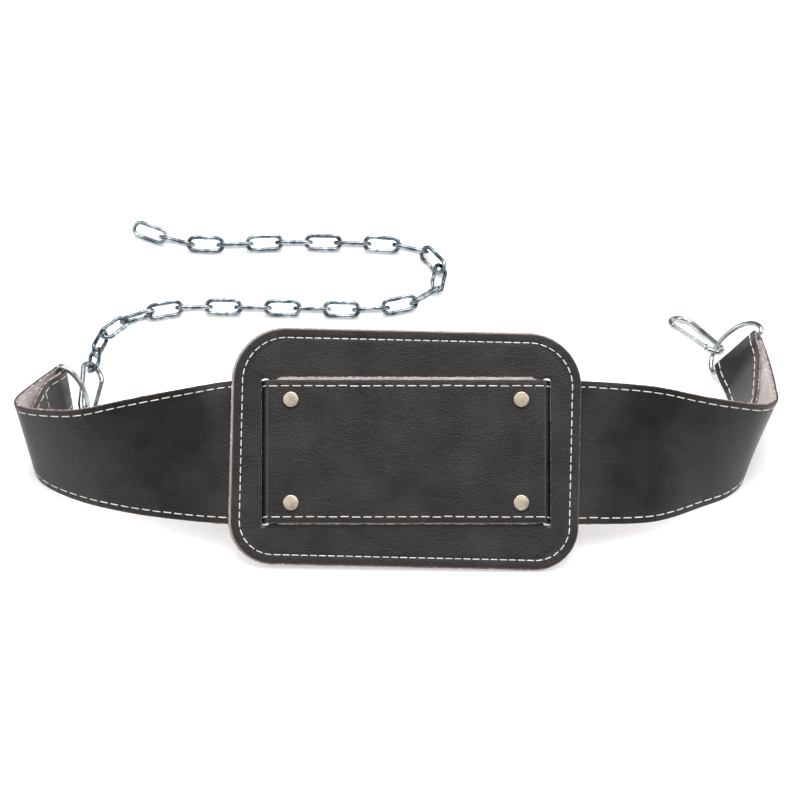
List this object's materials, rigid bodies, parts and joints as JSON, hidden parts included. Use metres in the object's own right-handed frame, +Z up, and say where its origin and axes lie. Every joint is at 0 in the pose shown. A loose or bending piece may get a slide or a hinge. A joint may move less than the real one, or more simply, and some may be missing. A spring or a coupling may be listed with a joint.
{
  "type": "dip belt",
  "caption": "Wide leather belt with a riveted back pad, a ring and spring hook at each end, and a chain for hanging weights; it stands open on its edge.",
  "frame": {"origin": "on the floor under the middle of the whole part, as it stands on its lower edge", "axes": "+X along the belt to the wearer's side with the free hook, +Y from the pad's outer face to the waist and the chain, +Z up"},
  "size_m": [0.648, 0.412, 0.1304],
  "materials": {
    "black_leather": "satin, fine grain",
    "suede": "matt, napped",
    "nickel": "satin",
    "zinc_steel": "bright zinc"
  },
  "bodies": {
    "root": {"strap_leather": "black_leather", "strap_lining": "suede", "pad_leather": "black_leather", "pad_lining": "suede", "rivet_1": "nickel", "rivet_2": "nickel", "rivet_3": "nickel", "rivet_4": "nickel", "ring_left": "zinc_steel", "hook_left": "zinc_steel", "ring_right": "zinc_steel", "hook_right": "zinc_steel", "chain_link_01": "zinc_steel", "chain_link_02": "zinc_steel", "chain_link_03": "zinc_steel", "chain_link_04": "zinc_steel", "chain_link_05": "zinc_steel", "chain_link_06": "zinc_steel", "chain_link_07": "zinc_steel", "chain_link_08": "zinc_steel", "chain_link_09": "zinc_steel", "chain_link_10": "zinc_steel", "chain_link_11": "zinc_steel", "chain_link_12": "zinc_steel", "chain_link_13": "zinc_steel", "chain_link_14": "zinc_steel", "chain_link_15": "zinc_steel", "chain_link_16": "zinc_steel", "chain_link_17": "zinc_steel", "chain_link_18": "zinc_steel", "chain_link_19": "zinc_steel", "chain_link_20": "zinc_steel", "chain_link_21": "zinc_steel", "chain_link_22": "zinc_steel", "chain_link_23": "zinc_steel", "chain_link_24": "zinc_steel", "chain_link_25": "zinc_steel", "chain_link_26": "zinc_steel"},
    "gate_left_body": {"hook_gate_left": "zinc_steel"},
    "gate_right_body": {"hook_gate_right": "zinc_steel"}
  },
  "joints": [
    {"name": "gate_left", "type": "hinge", "parent": "root", "child": "gate_left_body", "pos_m": [-0.25679, -0.02826, 0.01502], "axis": [-0.7068, 0.0286, -0.7068], "range_deg": [-25, 0], "stiffness_Nm_per_rad": 0.05, "springref_deg": 11.46},
    {"name": "gate_right", "type": "hinge", "parent": "root", "child": "gate_right_body", "pos_m": [0.26321, 0.04919, 0.01486], "axis": [0.2534, 0.3407, 0.9054], "range_deg": [-25, 0], "stiffness_Nm_per_rad": 0.05, "springref_deg": 11.46}
  ]
}
